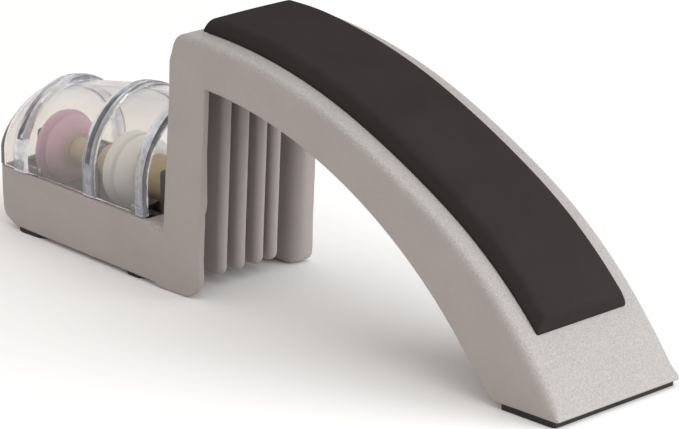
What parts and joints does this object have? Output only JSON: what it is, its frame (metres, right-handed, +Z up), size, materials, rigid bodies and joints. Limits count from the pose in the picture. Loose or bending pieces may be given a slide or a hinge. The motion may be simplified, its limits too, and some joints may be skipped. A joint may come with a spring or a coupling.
{
  "type": "water wheel knife sharpener",
  "caption": "Wet knife sharpener: open trough with grinding wheels on an axle under a clear slotted cover, and an arched handle with a soft pad ending in a rubber-soled heel.",
  "frame": {"origin": "on the table, under the middle of the outline", "axes": "+X from the trough toward the heel, +Y to the back of the picture, +Z up"},
  "size_m": [0.243, 0.05, 0.0846],
  "materials": {
    "grey_moulding": "fine spark-eroded grain",
    "soft_pad": "satin, softly moulded",
    "foot_rubber": "matt",
    "cradle_plastic": "moulded",
    "steel": "turned",
    "pink_ceramic": "fine abrasive grain",
    "white_ceramic": "fine abrasive grain",
    "tan_plastic": "moulded",
    "bush_plastic": "turned",
    "clear_plastic": "polished clear"
  },
  "bodies": {
    "base": {"main_body": "grey_moulding", "grip_pad": "soft_pad", "heel_pad": "foot_rubber", "front_left_foot": "foot_rubber", "back_left_foot": "foot_rubber", "front_right_foot": "foot_rubber", "back_right_foot": "foot_rubber"},
    "wheel_unit": {"wheel_cradle": "cradle_plastic", "axle": "steel", "axle_clips": "steel", "pink_washers": "steel", "white_washers": "steel"},
    "pink_wheel": {"pink_disc_left": "pink_ceramic", "pink_disc_right": "pink_ceramic", "pink_hub": "tan_plastic", "pink_bush": "bush_plastic"},
    "white_wheel": {"white_disc_left": "white_ceramic", "white_disc_right": "white_ceramic", "white_hub": "tan_plastic", "white_bush": "bush_plastic"},
    "cover": {"clear_cover": "clear_plastic"}
  },
  "joints": [
    {"name": "cradle_lift", "type": "slide", "parent": "base", "child": "wheel_unit", "axis": [0, 0, 1], "range_m": [0, 0.06]},
    {"name": "cover_lift", "type": "slide", "parent": "wheel_unit", "child": "cover", "axis": [0, 0, 1], "range_m": [0, 0.06]},
    {"name": "pink_spin", "type": "hinge", "parent": "wheel_unit", "child": "pink_wheel", "pos_m": [-0.11009, 0, 0.023], "axis": [1, 0, 0], "continuous": true},
    {"name": "white_spin", "type": "hinge", "parent": "wheel_unit", "child": "white_wheel", "pos_m": [-0.07679, 0, 0.023], "axis": [1, 0, 0], "continuous": true}
  ]
}
